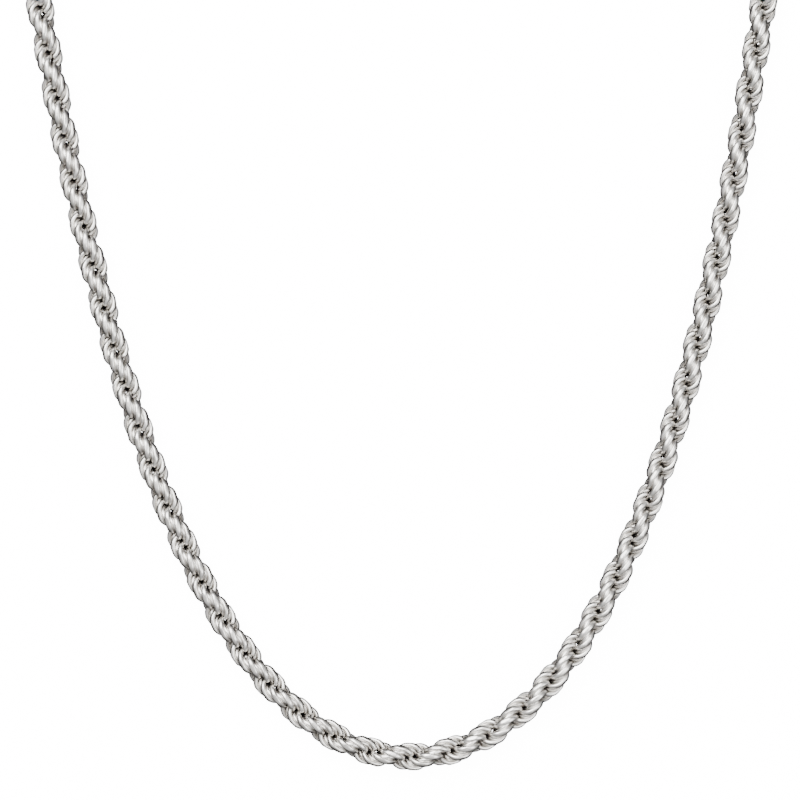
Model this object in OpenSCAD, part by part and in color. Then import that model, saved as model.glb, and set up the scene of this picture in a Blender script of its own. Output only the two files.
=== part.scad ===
// Rope chain necklace, laid out flat and unfastened.
// Two strands of open wire links are threaded through each other and turn about one axis,
// like a two-strand rope. The chain hangs in a catenary at the front, and its two arms end in
// turned caps. The left cap carries a lobster clasp and the right cap carries the ring for it.
// X runs across the necklace, Y from its front towards the clasp, Z up from the surface it lies on.

/* [Chain] */
// Outer diameter of the rope, mm
rope_d = 4; // [3.5:0.1:5]
// Radius of the curve at the lowest point of the front, mm
front_r = 21.7; // [20:0.1:60]
// Length of each arm that follows the catenary, mm
hang_length = 134; // [100:1:160]
// Direction of both arms at their upper ends, degrees from the X axis
end_heading = 104; // [90:1:115]

/* [Links] */
// Advance from one link to the next, as a share of the rope's diameter
link_step = 0.159; // [0.158:0.001:0.18]
// Turn of the rope from one link to the next, beyond the half turn between the strands, degrees
link_twist = 18.25; // [17.5:0.25:19]
// Wire diameter, as a share of the rope's diameter
wire_share = 0.125; // [0.08:0.005:0.125]
// Turn of the whole rope about its own axis, degrees
rope_phase = 0; // [0:1:359]

/* [Clasp] */
// Thickness of the lobster clasp, mm
clasp_t = 2.6; // [2.4:0.1:3]
// Hole in the ring that the clasp hooks into, mm
end_ring_hole_d = 4; // [4:0.1:5]

/* [Hidden] */
// Links in a stiff run and in a bending run, and the pairs of them on each arm
RUN_LINKS = 14;
BEND_LINKS = 13;
ARM_PAIRS = 12;

// One link as a share of the rope's diameter and in degrees: its radius, its centre's place off
// the rope's axis towards its back and sideways, its two tilts, its gap's place and half its gap
LINK_R = 0.3826;
LINK_OUT = 0.0448;
LINK_SIDE = -0.0025;
LINK_LEAN = -7.59;
LINK_YAW = -3.63;
GAP_PLACE = -75.8;
GAP_HALF = 35.4;

// Smoothness of the wire and of the link that it is bent into, and of turned pieces
WIRE_FN = 32;
RING_FN = 48;
TURNED_FN = 64;

rope_r = rope_d / 2;
step = link_step * rope_d;
wire_d = wire_share * rope_d;
half_centre = (RUN_LINKS - 1) / 2;
arm_links = ARM_PAIRS * (RUN_LINKS + BEND_LINKS);
arm_length = (half_centre + arm_links) * step;
free_length = arm_length - hang_length;
hang_heading = atan(hang_length / front_r);
free_turn = (end_heading - hang_heading) / free_length;
free_r = 180 / (PI * free_turn);

// End caps, jump rings and the play between pieces that move on each other
PLAY = 0.05;
CAP_WALL = 0.27;
CAP_PLAY = 0.08;
CAP_END = 0.8;
CAP_HOLD = 3.7;
LOOP_R = 1.1;
LOOP_WIRE_R = 0.35;
LOOP_OUT = 0.95;
JUMP_R = 1.8;
JUMP_WIRE_R = 0.4;
cap_r = rope_r + CAP_PLAY + CAP_WALL;
axis_z = cap_r;

// Lobster clasp
EYE_HOLE_R = 0.95;
EYE_WIRE = 0.65;
EYE_T = 1.4;
CLAW_REACH = 6.4;
CLAW_R = 3.6;
CLAW_HOLE_R = 2.2;
STEM_HALF = 1.1;
STEM_T = 2;
STEM_LENGTH = CLAW_REACH - EYE_HOLE_R - (CLAW_R + CLAW_HOLE_R) / 2;
PIVOT_FROM_CENTRE = 3.2;
PIVOT_PLACE = -112;
PIVOT = PIVOT_FROM_CENTRE * [cos(PIVOT_PLACE), sin(PIVOT_PLACE)];
CHEEK_R = 1.4;
SLOT_T = 1.6;
PIN_R = 0.4;
PIN_PLAY = 0.03;
LEVER_T = 1.2;
LEVER_PLAY = 0.08;
LEVER_LOW = LEVER_PLAY - SLOT_T / 2;
LEVER_REACH = 4.15;
HUB_R = 0.9;
MOUTH_HALF = 84;
TAB_PLACE = [0.3, -3.75];
TAB_R = 0.9;
SPRING_R = 0.65;
SPRING_T = 0.2;
SPRING_LEG = 0.6;
SPRING_LEGS = [-10, 200];

// Ring for the clasp
END_RING_WALL = 1;
end_ring_r = end_ring_hole_d / 2;

// Distances along the rope's axis from the last link's centre; jump_inside is where a piece of
// thickness t hangs in the jump ring
LAST_LINK = 1.85;
cap_face = LAST_LINK + CAP_END;
loop_wire = cap_face + LOOP_OUT + LOOP_R;
jump_centre = loop_wire - LOOP_WIRE_R - PLAY - JUMP_WIRE_R + JUMP_R;
jump_far = jump_centre + JUMP_R;
function jump_inside(t) = jump_centre + sqrt(pow(JUMP_R - JUMP_WIRE_R, 2) - pow(t / 2, 2)) - PLAY;
eye_centre = jump_inside(EYE_T) + EYE_HOLE_R;
ring_centre = jump_inside(END_RING_WALL) + end_ring_r;

// The rope's axis in plan, by the arc length s from its lowest point
function inverse_sinh(u) = ln(u + sqrt(u * u + 1));
function hang_point(s) = [
    front_r * inverse_sinh(s / front_r),
    front_r * (sqrt(1 + pow(s / front_r, 2)) - 1)
];
function heading(s) =
    abs(s) <= hang_length
        ? atan(s / front_r)
        : sign(s) * (hang_heading + (abs(s) - hang_length) * free_turn);
function arm_point(s) =
    let (start = hang_point(hang_length), now = heading(s))
    [
        start[0] + free_r * (sin(now) - sin(hang_heading)),
        start[1] - free_r * (cos(now) - cos(hang_heading))
    ];
function plan_point(s) =
    abs(s) <= hang_length ? hang_point(s)
    : s > 0 ? arm_point(s)
    : [-arm_point(-s)[0], arm_point(-s)[1]];

// The box's middle in Y is the origin, and its top is the tip of the clasp's claw
end_point = plan_point(arm_length);
claw_centre = eye_centre + CLAW_REACH;
box_top = end_point[1] + claw_centre * sin(end_heading) + CLAW_R;
origin_y = (box_top - rope_r) / 2;

// Child placed on the rope's axis at arc length s, with the rope running along the child's X
module on_rope(s) {
    at = plan_point(s);
    translate([at[0], at[1] - origin_y, axis_z])
        rotate([0, 0, heading(s)])
            children();
}

// Child placed beyond an arm's last link, with X running outwards along the arm
module beyond_arm(side) {
    on_rope(side * arm_length)
        rotate([0, 0, side > 0 ? 0 : 180])
            children();
}

// Ring or part of a ring of round wire about Z
module wire_ring(ring_r, wire_r, turn = 360) {
    rotate_extrude(angle = turn, $fn = RING_FN)
        translate([ring_r, 0])
            circle(r = wire_r, $fn = WIRE_FN);
}

// One open link, with the rope's axis along Z
module link() {
    translate([LINK_OUT * rope_d, LINK_SIDE * rope_d, 0])
        rotate([0, 0, LINK_YAW])
            rotate([LINK_LEAN, 0, 0])
                rotate([90, 0, 0])
                    rotate([0, 0, GAP_PLACE - 180 + GAP_HALF])
                        wire_ring(LINK_R * rope_d, wire_d / 2, 360 - 2 * GAP_HALF);
}

// The links numbered first to last from the lowest point
module links(first, last) {
    color("silver")
        for (n = [first : last])
            on_rope(n * step)
                rotate([0, 90, 0])
                    rotate([0, 0, rope_phase - n * (180 + link_twist)])
                        link();
}

// Stiff and bending runs by their number on an arm; side is 1 on the right and -1 on the left
function run_start(pair) = half_centre + 1 + (pair - 1) * (RUN_LINKS + BEND_LINKS);
module run_of_links(side, start, count) {
    links(side > 0 ? start : 1 - start - count, side > 0 ? start + count - 1 : -start);
}
module bend_run(side, pair) {
    run_of_links(side, run_start(pair), BEND_LINKS);
}
module stiff_run(side, pair) {
    run_of_links(side, run_start(pair) + BEND_LINKS, RUN_LINKS);
}
module centre_run() {
    links(-half_centre, half_centre);
}

// Turned cap over an arm's last links, with the loop at its closed end
module end_cap(side) {
    color("silver")
        beyond_arm(side) {
            difference() {
                translate([cap_face - CAP_END - CAP_HOLD, 0, 0])
                    rotate([0, 90, 0])
                        cylinder(r = cap_r, h = CAP_HOLD + CAP_END, $fn = TURNED_FN);
                translate([cap_face - CAP_END - 2 * CAP_HOLD, 0, 0])
                    rotate([0, 90, 0])
                        cylinder(r = cap_r - CAP_WALL, h = 2 * CAP_HOLD, $fn = TURNED_FN);
            }
            translate([loop_wire - LOOP_R, 0, 0])
                wire_ring(LOOP_R, LOOP_WIRE_R);
        }
}

// Upright ring that joins a cap's loop to what hangs on it
module jump_ring(side) {
    color("silver")
        beyond_arm(side)
            translate([jump_centre, 0, 0])
                rotate([90, 0, 0])
                    wire_ring(JUMP_R, JUMP_WIRE_R);
}

// Ring that the clasp hooks into; its hole has a straight wall
module end_ring() {
    color("silver")
        beyond_arm(1)
            translate([ring_centre, 0, 0])
                rotate_extrude($fn = TURNED_FN) {
                    translate([end_ring_r, -END_RING_WALL / 2])
                        square([END_RING_WALL / 2, END_RING_WALL]);
                    translate([end_ring_r + END_RING_WALL / 2, 0])
                        circle(d = END_RING_WALL, $fn = WIRE_FN);
                }
}

// Child in the clasp's own plan: origin at the middle of the claw, X along the clasp away from
// the eye, and Z through its thickness
module on_clasp() {
    beyond_arm(-1)
        translate([claw_centre, 0, 0])
            children();
}

// Upright cylinder of height h, centred on the given place in the clasp's plan
module clasp_disc(place, r, h) {
    translate([place[0], place[1], -h / 2])
        cylinder(r = r, h = h, $fn = TURNED_FN);
}

// What the lever can reach from its pivot on the open side of the claw
module mouth(reach) {
    middle = PIVOT_PLACE + 90;
    intersection() {
        clasp_disc(PIVOT, reach, 2 * clasp_t);
        translate([PIVOT[0], PIVOT[1], -2 * clasp_t])
            linear_extrude(4 * clasp_t)
                polygon([
                    [0, 0],
                    2 * reach * [cos(middle - MOUTH_HALF), sin(middle - MOUTH_HALF)],
                    4 * reach * [cos(middle), sin(middle)],
                    2 * reach * [cos(middle + MOUTH_HALF), sin(middle + MOUTH_HALF)]
                ]);
    }
}

// Hooked body of the clasp, with the eye, the stem and the two cheeks that hold the lever
module clasp_body() {
    color("silver")
        on_clasp()
            difference() {
                union() {
                    difference() {
                        clasp_disc([0, 0], CLAW_R, clasp_t);
                        mouth(LEVER_REACH);
                    }
                    clasp_disc(PIVOT, CHEEK_R, clasp_t);
                    translate([EYE_HOLE_R - CLAW_REACH, -STEM_HALF, -STEM_T / 2])
                        cube([STEM_LENGTH, 2 * STEM_HALF, STEM_T]);
                    clasp_disc([-CLAW_REACH, 0], EYE_HOLE_R + EYE_WIRE, EYE_T);
                }
                clasp_disc([-CLAW_REACH, 0], EYE_HOLE_R, 2 * clasp_t);
                clasp_disc([0, 0], CLAW_HOLE_R, 2 * clasp_t);
                clasp_disc(PIVOT, CHEEK_R + LEVER_PLAY, SLOT_T);
                clasp_disc(PIVOT, PIN_R, 2 * clasp_t);
            }
}

// Lever that closes the claw's mouth, with a thumb tab that stands out at the side
module clasp_lever() {
    color("silver")
        on_clasp()
            translate([0, 0, LEVER_LOW + LEVER_T / 2])
                difference() {
                    union() {
                        difference() {
                            intersection() {
                                clasp_disc([0, 0], CLAW_R - LEVER_PLAY, LEVER_T);
                                mouth(LEVER_REACH - LEVER_PLAY);
                            }
                            clasp_disc([0, 0], CLAW_HOLE_R, 2 * LEVER_T);
                        }
                        clasp_disc(PIVOT, HUB_R, LEVER_T);
                        clasp_disc(TAB_PLACE, TAB_R, LEVER_T);
                    }
                    clasp_disc(PIVOT, PIN_R + PIN_PLAY, 2 * LEVER_T);
                }
}

// Rivet that the lever turns on
module clasp_pin() {
    color("silver")
        on_clasp()
            clasp_disc(PIVOT, PIN_R, clasp_t);
}

// Flat torsion spring round the rivet, between the lever and a cheek, with its two legs
module clasp_spring() {
    color("gainsboro")
        on_clasp()
            translate([PIVOT[0], PIVOT[1], LEVER_LOW + LEVER_T + PLAY])
                linear_extrude(SPRING_T) {
                    difference() {
                        circle(r = SPRING_R + SPRING_T / 2, $fn = TURNED_FN);
                        circle(r = SPRING_R - SPRING_T / 2, $fn = TURNED_FN);
                    }
                    for (leg = SPRING_LEGS)
                        rotate([0, 0, leg])
                            translate([SPRING_R, -SPRING_T / 2])
                                square([SPRING_LEG, SPRING_T]);
                }
}

// Names of an arm's nodes; the pairs are numbered from the lowest point
function pair_name(arm, kind, pair) = str(arm, kind, pair < 10 ? "0" : "", pair);
ARMS = [["left", -1], ["right", 1]];

centre_run();
for (arm = ARMS, pair = [1 : ARM_PAIRS]) {
    bend_run(arm[1], pair);
    stiff_run(arm[1], pair);
}
end_cap(-1);  // left_end_cap
jump_ring(-1);  // left_jump_ring
clasp_body();
clasp_lever();
clasp_pin();
clasp_spring();
end_cap(1);  // right_end_cap
jump_ring(1);  // right_jump_ring
end_ring();
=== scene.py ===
# Silver rope chain necklace, laid out flat and unfastened, round its imported CAD bodies.
# The chain is drawn link by link in pieces that each reach across one of its joints. The caps,
# jump rings, clasp and end ring are the CAD's own nodes with rounded edges and a finish.
import math

import bpy
import numpy as np
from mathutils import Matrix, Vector


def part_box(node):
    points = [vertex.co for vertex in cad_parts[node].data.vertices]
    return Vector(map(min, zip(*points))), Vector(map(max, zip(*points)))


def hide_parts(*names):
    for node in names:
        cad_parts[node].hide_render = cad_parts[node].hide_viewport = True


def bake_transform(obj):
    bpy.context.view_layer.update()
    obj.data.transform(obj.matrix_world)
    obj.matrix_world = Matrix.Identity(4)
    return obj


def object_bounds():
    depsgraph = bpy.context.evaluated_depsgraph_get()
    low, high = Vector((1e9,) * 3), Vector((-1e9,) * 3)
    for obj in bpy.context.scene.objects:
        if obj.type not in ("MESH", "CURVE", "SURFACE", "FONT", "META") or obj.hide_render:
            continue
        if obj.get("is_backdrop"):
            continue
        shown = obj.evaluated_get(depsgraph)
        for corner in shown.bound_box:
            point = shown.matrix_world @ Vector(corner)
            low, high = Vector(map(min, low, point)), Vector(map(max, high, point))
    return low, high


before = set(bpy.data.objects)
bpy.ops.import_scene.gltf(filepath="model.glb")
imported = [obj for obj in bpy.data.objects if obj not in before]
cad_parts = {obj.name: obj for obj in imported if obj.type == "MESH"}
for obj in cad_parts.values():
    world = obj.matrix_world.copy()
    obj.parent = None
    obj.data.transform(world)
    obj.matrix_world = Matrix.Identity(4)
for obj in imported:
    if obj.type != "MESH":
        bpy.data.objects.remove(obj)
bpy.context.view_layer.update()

# Sizes of the rope, in metres and radians, as in the CAD source
MM = 0.001
ROPE_D = 4 * MM
FRONT_R = 21.7 * MM
HANG_LENGTH = 134 * MM
END_HEADING = math.radians(104)
STEP = 0.159 * ROPE_D
TWIST = math.radians(198.25)
RUN_LINKS, BEND_LINKS, PAIRS = 14, 13, 12
HALF_CENTRE = (RUN_LINKS - 1) / 2
ARM_LINKS = HALF_CENTRE + PAIRS * (RUN_LINKS + BEND_LINKS)
ARM_LENGTH = ARM_LINKS * STEP
HANG_HEADING = math.atan(HANG_LENGTH / FRONT_R)
FREE_R = (ARM_LENGTH - HANG_LENGTH) / (END_HEADING - HANG_HEADING)
AXIS_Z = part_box("left_end_cap")[1].z / 2
# How far the rope is turned about its own axis, and how unevenly, as powers of the share of
# HANG_LENGTH: it is wound a little tighter near its lowest point than higher up the arms. The
# CAD rope is wound evenly.
PHASE = math.radians(-5)
TIGHTER = (math.radians(63), math.radians(11), math.radians(-104))


def hang_point(s):
    """The catenary in which the front hangs."""
    return np.array(
        [FRONT_R * math.asinh(s / FRONT_R), FRONT_R * (math.hypot(1, s / FRONT_R) - 1)]
    )


def heading(s):
    """The rope's direction in plan at the arc length s."""
    if abs(s) <= HANG_LENGTH:
        return math.atan(s / FRONT_R)
    return math.copysign(HANG_HEADING + (abs(s) - HANG_LENGTH) / FREE_R, s)


def plan_point(s):
    """The rope's axis in plan at the arc length s from its lowest point."""
    if abs(s) <= HANG_LENGTH:
        return hang_point(s)
    x, y = hang_point(HANG_LENGTH)
    now = heading(abs(s))
    x += FREE_R * (math.sin(now) - math.sin(HANG_HEADING))
    y -= FREE_R * (math.cos(now) - math.cos(HANG_HEADING))
    return np.array([math.copysign(x, s), y])


# Where the rope's lowest point lies in the frame
LOW_Y = -102.524 * MM


def on_rope(points, s):
    """Points whose Z runs along the rope, placed at the arc length s."""
    x, y = plan_point(s)
    a = heading(s)
    out = np.empty_like(points)
    along, across = points[:, 2], points[:, 1]
    out[:, 0] = x + along * math.cos(a) - across * math.sin(a)
    out[:, 1] = y + LOW_Y + along * math.sin(a) + across * math.cos(a)
    out[:, 2] = AXIS_Z - points[:, 0]
    return out


# One link, in shares of the rope's diameter and in radians: an open ring whose back lies along
# the rope, LINK_OUT off the rope's axis. Its wire is broad at the back and narrower where it
# passes inside. FLATS are the ground facets: their angle in degrees and their reach.
LINK_R, LINK_HALF_LENGTH = 0.4, 0.46
LINK_OUT = 0.055
LINK_LEAN = -0.18
LINK_CURL = 0.01
GAP_PLACE = -1.62
GAP_HALF = 0.25
BACK_WIDTH, INNER_WIDTH = 0.235, 0.185
BACK_THICK, INNER_THICK = 0.19, 0.18
ROUNDS, SIDES = 44, 12
# The wire has its full width where it is BACK_REACH or more off the rope's axis, and its inner
# width where it is INSIDE_REACH or more past the axis, on the far side from its back. END_SHARE
# of its length at each end is rounded down to END_SIZE.
INSIDE_REACH, BACK_REACH = 0.15, 0.4
END_SHARE, END_SIZE = 0.02, 0.55
# Power that squares the wire's section, and the share of the metal beyond a facet that is gone
WIRE_SQUARENESS = 0.9
FLAT_DEPTH = 0.9
FLATS = ((0, 0.52), (38, 0.528), (-38, 0.528))


def smooth(t):
    """Eases from 0 to 1."""
    t = np.clip(t, 0, 1)
    return t * t * (3 - 2 * t)


def unit(v):
    """Vectors scaled to length 1."""
    return v / np.linalg.norm(v, axis=-1)[..., None]


def link_shape():
    """The vertices of one link, with the rope's axis along Z."""
    a = np.linspace(-math.pi + GAP_HALF, math.pi - GAP_HALF, ROUNDS) + GAP_PLACE
    ring = np.stack(
        [LINK_R * np.cos(a), LINK_CURL * np.sin(2 * a), LINK_HALF_LENGTH * np.sin(a)], -1
    )
    lean = np.array(
        [
            [1, 0, 0],
            [0, math.cos(LINK_LEAN), -math.sin(LINK_LEAN)],
            [0, math.sin(LINK_LEAN), math.cos(LINK_LEAN)],
        ]
    )
    ring = ring @ lean.T
    from_ring = unit(ring)
    line = ring + np.array([LINK_OUT, 0, 0])
    tangent = unit(np.gradient(line, axis=0))
    from_rope = unit(line * np.array([1, 1, 0]))
    normal = (from_rope + from_ring) / 2
    normal = unit(normal - (normal * tangent).sum(1)[:, None] * tangent)
    side = np.cross(tangent, normal)
    from_axis = np.hypot(line[:, 0], line[:, 1]) * np.sign(line[:, 0] + INSIDE_REACH)
    back = smooth(from_axis / BACK_REACH)
    width = INNER_WIDTH + (BACK_WIDTH - INNER_WIDTH) * back
    thick = INNER_THICK + (BACK_THICK - INNER_THICK) * back
    share = np.linspace(0, 1, ROUNDS)
    end = np.clip(np.minimum(share, 1 - share) / END_SHARE, 0, 1)
    end = END_SIZE + (1 - END_SIZE) * np.sqrt(1 - (1 - end) ** 2)
    turn = np.arange(SIDES) / SIDES * 2 * math.pi
    outward = squared(np.cos(turn)) * (thick * end)[:, None] / 2
    sideways = squared(np.sin(turn)) * (width * end)[:, None] / 2
    out, across = normal[:, None], side[:, None]
    points = line[:, None] + out * outward[..., None] + across * sideways[..., None]
    return ground_flat(points.reshape(-1, 3)) * ROPE_D


def squared(wave):
    """A sine or cosine that makes the wire's section a little squarer than an ellipse."""
    return np.sign(wave) * np.abs(wave) ** WIRE_SQUARENESS


def ground_flat(points):
    """Presses the link's back into the facets that grinding leaves."""
    for angle, reach in FLATS:
        facet = np.array([math.cos(math.radians(angle)), math.sin(math.radians(angle)), 0])
        points = points - np.clip(points @ facet - reach, 0, None)[:, None] * facet * FLAT_DEPTH
    return points


def link_faces():
    """The faces of the wire's tube, with both of its ends closed."""
    faces = []
    for i in range(ROUNDS - 1):
        for j in range(SIDES):
            k = (j + 1) % SIDES
            faces.append((i * SIDES + j, i * SIDES + k, (i + 1) * SIDES + k, (i + 1) * SIDES + j))
    faces.append(tuple(reversed(range(SIDES))))
    faces.append(tuple((ROUNDS - 1) * SIDES + j for j in range(SIDES)))
    return faces


SHAPE, FACES = link_shape(), link_faces()
# How far each vertex lies off the rope's axis, as a share of the rope's radius; the chain's
# painted shade darkens the wire where this is small
DEPTH = np.hypot(SHAPE[:, 0], SHAPE[:, 1]) / (ROPE_D / 2)


def link_turn(n):
    """How far link n, counted from the lowest point, is turned about the rope's axis."""
    u = max(-1, min(1, n * STEP / HANG_LENGTH))
    return PHASE - n * TWIST - TIGHTER[0] * u - TIGHTER[1] * u**2 - TIGHTER[2] * u**3


def turned(points, angle):
    """Points turned about the rope's axis."""
    c, s = math.cos(angle), math.sin(angle)
    return points @ np.array([[c, s, 0], [-s, c, 0], [0, 0, 1]])


def links_mesh(name, numbers):
    """One mesh that holds the links with these numbers, counted from the lowest point."""
    points, faces = [], []
    for n in numbers:
        base = len(points) * len(SHAPE)
        points.append(on_rope(turned(SHAPE, link_turn(n)), n * STEP))
        faces += [tuple(base + i for i in f) for f in FACES]
    mesh = bpy.data.meshes.new(name)
    mesh.from_pydata(np.concatenate(points).tolist(), [], faces)
    mesh.polygons.foreach_set("use_smooth", [True] * len(mesh.polygons))
    from_axis = mesh.attributes.new("from_axis", "FLOAT", "POINT")
    from_axis.data.foreach_set("value", np.tile(DEPTH, len(points)).astype(np.float32))
    obj = bpy.data.objects.new(name, mesh)
    bpy.context.scene.collection.objects.link(obj)
    return obj


# Scales of the silver's mottling and scratches, in noise cells per metre, the tone of its dull
# spots as shares of its own, and the strength and depth of its unevenness
MOTTLE, MOTTLE_DETAIL = 900, 4
CHAIN_SCRATCHES, PART_SCRATCHES, SCRATCH_DETAIL = 2600, 2200, 6
DULL = (0.9, 0.89, 0.87)
RELIEF, RELIEF_DEPTH = 0.12, 0.02 * MM
# Roughness in the smoothest and the roughest spots, as shares of the usual
SMOOTHEST, ROUGHEST = 0.75, 1.3


def noise(tree, scale, detail):
    """Noise fixed to the piece."""
    place = tree.nodes.new("ShaderNodeTexCoord")
    node = tree.nodes.new("ShaderNodeTexNoise")
    node.inputs["Scale"].default_value = scale
    node.inputs["Detail"].default_value = detail
    tree.links.new(place.outputs["Object"], node.inputs["Vector"])
    return node.outputs["Fac"]


def tones(tree, factor, dark, light):
    """A colour ramp; dark and light are (position, colour)."""
    ramp = tree.nodes.new("ShaderNodeValToRGB")
    for element, (position, colour) in zip(ramp.color_ramp.elements, (dark, light)):
        element.position = position
        element.color = (*colour, 1)
    tree.links.new(factor, ramp.inputs["Fac"])
    return ramp.outputs["Color"]


def painted_shade_between_links(tree):
    """Painted shade that darkens the wire towards the rope's axis, between the links."""
    depth = tree.nodes.new("ShaderNodeAttribute")
    depth.attribute_name = "from_axis"
    return tones(tree, depth.outputs["Fac"], (0.2, (0.34, 0.33, 0.315)), (0.78, (1, 1, 1)))


def in_corners(tree):
    """Darker colour in the concave corners of a casting, and none on its edges."""
    shape = tree.nodes.new("ShaderNodeNewGeometry")
    return tones(tree, shape.outputs["Pointiness"], (0.42, (0.5, 0.49, 0.47)), (0.53, (1, 1, 1)))


def silver(name, rough, tone, scratches, crevice_darkening):
    """Polished silver with faint scratches, colour darkened in the crevices (painted shade on the
    chain's links) and slight unevenness.
    """
    mat = bpy.data.materials.new(name)
    mat.use_nodes = True
    tree = mat.node_tree
    shader = tree.nodes["Principled BSDF"]
    shader.inputs["Metallic"].default_value = 1
    dull = tuple(t * d for t, d in zip(tone, DULL))
    mix = tree.nodes.new("ShaderNodeMix")
    mix.data_type = "RGBA"
    mix.blend_type = "MULTIPLY"
    mix.inputs["Factor"].default_value = 1
    mottle = noise(tree, MOTTLE, MOTTLE_DETAIL)
    tree.links.new(tones(tree, mottle, (0.3, dull), (0.7, tone)), mix.inputs["A"])
    tree.links.new(crevice_darkening(tree), mix.inputs["B"])
    tree.links.new(mix.outputs["Result"], shader.inputs["Base Color"])
    fine = noise(tree, scratches, SCRATCH_DETAIL)
    spread = tree.nodes.new("ShaderNodeMapRange")
    spread.inputs["To Min"].default_value = rough * SMOOTHEST
    spread.inputs["To Max"].default_value = rough * ROUGHEST
    tree.links.new(fine, spread.inputs["Value"])
    tree.links.new(spread.outputs["Result"], shader.inputs["Roughness"])
    bump = tree.nodes.new("ShaderNodeBump")
    bump.inputs["Strength"].default_value = RELIEF
    bump.inputs["Distance"].default_value = RELIEF_DEPTH
    tree.links.new(fine, bump.inputs["Height"])
    tree.links.new(bump.outputs["Normal"], shader.inputs["Normal"])
    return mat


# The chain's silver carries painted shade that darkens its wires towards the rope's axis, between
# the links.
CHAIN_SILVER = silver("chain_silver", 0.3, (0.9, 0.88, 0.85), CHAIN_SCRATCHES, painted_shade_between_links)
PART_SILVER = silver("polished_silver", 0.2, (0.86, 0.845, 0.825), PART_SCRATCHES, in_corners)


def run_start(pair):
    """The number of the first link of an arm's bending run."""
    return HALF_CENTRE + 1 + (pair - 1) * (RUN_LINKS + BEND_LINKS)


def rope_point(s):
    """The place on the rope's axis at the arc length s."""
    x, y = plan_point(s)
    return (x, y + LOW_Y, AXIS_Z)


def chain_piece(name, side, links, pivot):
    """An arm's links from one number to another, as one mesh in the chain's silver."""
    numbers = [side * n for n in np.arange(links[0], links[1] + 0.5)]
    half = BEND_LINKS / 4
    piece = links_mesh(name, numbers)
    piece.data.materials.append(CHAIN_SILVER)
    rope_point(side * (pivot - half) * STEP)
    rope_point(side * (pivot + half) * STEP)
    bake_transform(piece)
    return piece


# The chain: one piece for each hinge, from the middle of one CAD body to the middle of the next.
# A bending run's sway number lies a quarter of the way along it, and its lift number three
# quarters.
for arm, side in (("left", -1), ("right", 1)):
    for pair in range(1, PAIRS + 1):
        bend, run = f"{arm}_bend_{pair:02d}", f"{arm}_run_{pair:02d}"
        start = run_start(pair)
        middle = start + BEND_LINKS // 2
        first = 0.5 if pair == 1 else start - RUN_LINKS / 2
        last = start + BEND_LINKS - 1 + (RUN_LINKS / 2 if pair < PAIRS else RUN_LINKS)
        sway, lift = start - 0.5 + BEND_LINKS * 0.25, start - 0.5 + BEND_LINKS * 0.75
        low_links, high_links = (first, middle - 1), (middle, last)
        low = chain_piece(f"{arm}_sway_{pair:02d}", side, low_links, sway)
        high = chain_piece(f"{arm}_lift_{pair:02d}", side, high_links, lift)
        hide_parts(bend, *(["centre_run"] if pair == 1 else []))
        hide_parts(bend, run)


def eased(node, grain, passes):
    """Rounds the sharp edges of a CAD node, as on a polished casting."""
    skin = node.modifiers.new("skin", "REMESH")
    skin.mode = "VOXEL"
    skin.voxel_size = grain
    skin.use_smooth_shade = True
    polish = node.modifiers.new("polish", "SMOOTH")
    polish.factor = 0.5
    polish.iterations = passes


# The voxel size of each casting's skin, and how many passes of polishing it gets
EASED = {
    "left_end_cap": (0.07 * MM, 20),
    "right_end_cap": (0.07 * MM, 20),
    "clasp_body": (0.07 * MM, 30),
    "clasp_lever": (0.06 * MM, 14),
    "end_ring": (0.05 * MM, 6),
}
# Nodes that are round or small enough to stay as they are
PLAIN = ("left_jump_ring", "right_jump_ring", "clasp_spring", "clasp_pin")
for name in (*PLAIN, *EASED):
    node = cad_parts[name]
    node.data.materials.clear()
    node.data.materials.append(PART_SILVER)
    if name in EASED:
        eased(node, *EASED[name])

# Half the paper's side, in metres, how far it lies under the necklace, and how much it glows
PAPER_REACH = 3
PAPER_GAP = 0.2 * MM
PAPER_GLOW = 14


def white_paper():
    """Matt paper that glows, so that it is white all over and shows no shadows."""
    paper = bpy.data.materials.new("paper")
    paper.use_nodes = True
    shader = paper.node_tree.nodes["Principled BSDF"]
    shader.inputs["Base Color"].default_value = (0.93, 0.93, 0.93, 1)
    shader.inputs["Roughness"].default_value = 0.9
    shader.inputs["Emission Color"].default_value = (1, 1, 1, 1)
    shader.inputs["Emission Strength"].default_value = PAPER_GLOW
    return paper


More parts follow.
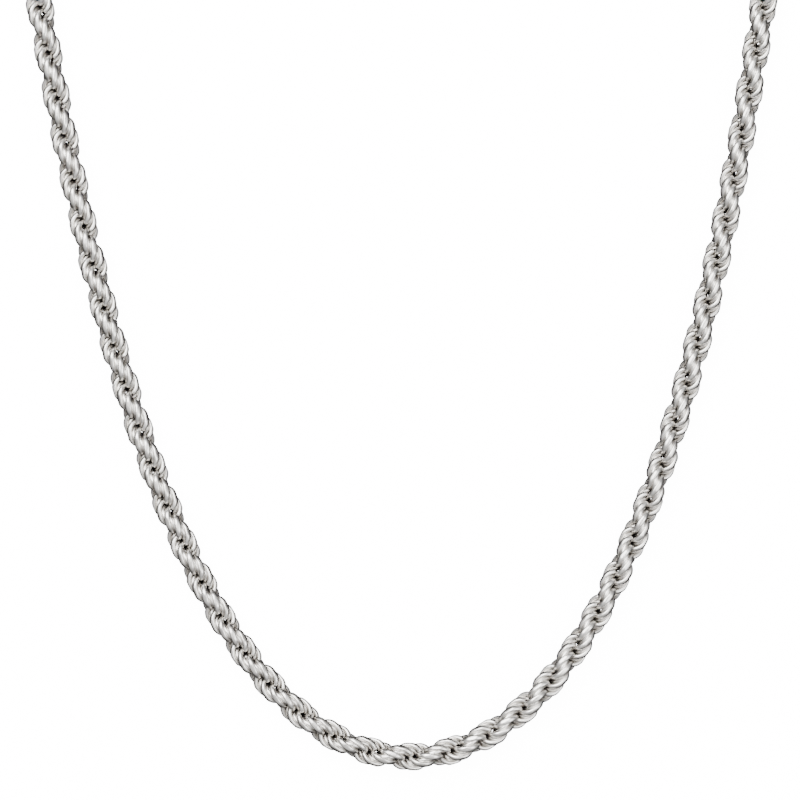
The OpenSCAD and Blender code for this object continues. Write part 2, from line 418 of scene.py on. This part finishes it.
def sheet_of_paper():
    """The ground. Reflections see the dark surround in its place, which outlines the silver."""
    r = PAPER_REACH
    sheet = bpy.data.meshes.new("ground")
    sheet.from_pydata([(-r, -r, 0), (r, -r, 0), (r, r, 0), (-r, r, 0)], [], [(0, 1, 2, 3)])
    ground = bpy.data.objects.new("ground", sheet)
    ground.location.z = -PAPER_GAP
    bpy.context.scene.collection.objects.link(ground)
    sheet.materials.append(white_paper())
    ground.visible_glossy = False
    ground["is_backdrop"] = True


def studio_walls():
    """A surround that is dark below and bright above, for the silver to reflect."""
    world = bpy.data.worlds.new("studio")
    bpy.context.scene.world = world
    world.use_nodes = True
    sky = world.node_tree
    direction = sky.nodes.new("ShaderNodeTexCoord")
    split = sky.nodes.new("ShaderNodeSeparateXYZ")
    sky.links.new(direction.outputs["Generated"], split.inputs["Vector"])
    shade = tones(sky, split.outputs["Z"], (0, (0.03, 0.03, 0.03)), (0.75, (0.9, 0.9, 0.9)))
    sky.links.new(shade, sky.nodes["Background"].inputs["Color"])
    sky.nodes["Background"].inputs["Strength"].default_value = 1


def soft_light(name, place, size, power):
    """A round lamp that points at the frame's origin."""
    lamp = bpy.data.lights.new(name, "AREA")
    lamp.shape = "DISK"
    lamp.size = size
    lamp.energy = power
    obj = bpy.data.objects.new(name, lamp)
    obj.location = place
    obj.rotation_euler = (-Vector(place)).to_track_quat("-Z", "Y").to_euler()
    bpy.context.scene.collection.objects.link(obj)


# The view is a square of this width, and its up direction leans a little to the right. Its
# middle lies VIEW_RIGHT and VIEW_UP from the rope's lowest point.
VIEW_WIDTH = 120.75 * MM
ROLL = math.radians(0.705)
VIEW_RIGHT, VIEW_UP = -1.71 * MM, 53.82 * MM
FOCAL_LENGTH, SENSOR_WIDTH = 200, 36


def camera_above():
    """The camera, straight above the front of the necklace."""
    lens = bpy.data.cameras.new("camera")
    lens.lens = FOCAL_LENGTH
    lens.sensor_width = SENSOR_WIDTH
    camera = bpy.data.objects.new("camera", lens)
    right = Vector((math.cos(ROLL), -math.sin(ROLL), 0))
    up = Vector((math.sin(ROLL), math.cos(ROLL), 0))
    camera.location = Vector(rope_point(0)) + right * VIEW_RIGHT + up * VIEW_UP
    camera.location.z = AXIS_Z + VIEW_WIDTH * FOCAL_LENGTH / SENSOR_WIDTH
    camera.rotation_euler = (0, 0, -ROLL)
    bpy.context.scene.collection.objects.link(camera)
    bpy.context.scene.camera = camera


sheet_of_paper()
studio_walls()
soft_light("key", (-0.35, 0.45, 0.9), 1.0, 23)
soft_light("fill", (0.6, -0.2, 0.9), 0.8, 7)
camera_above()

low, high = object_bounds()
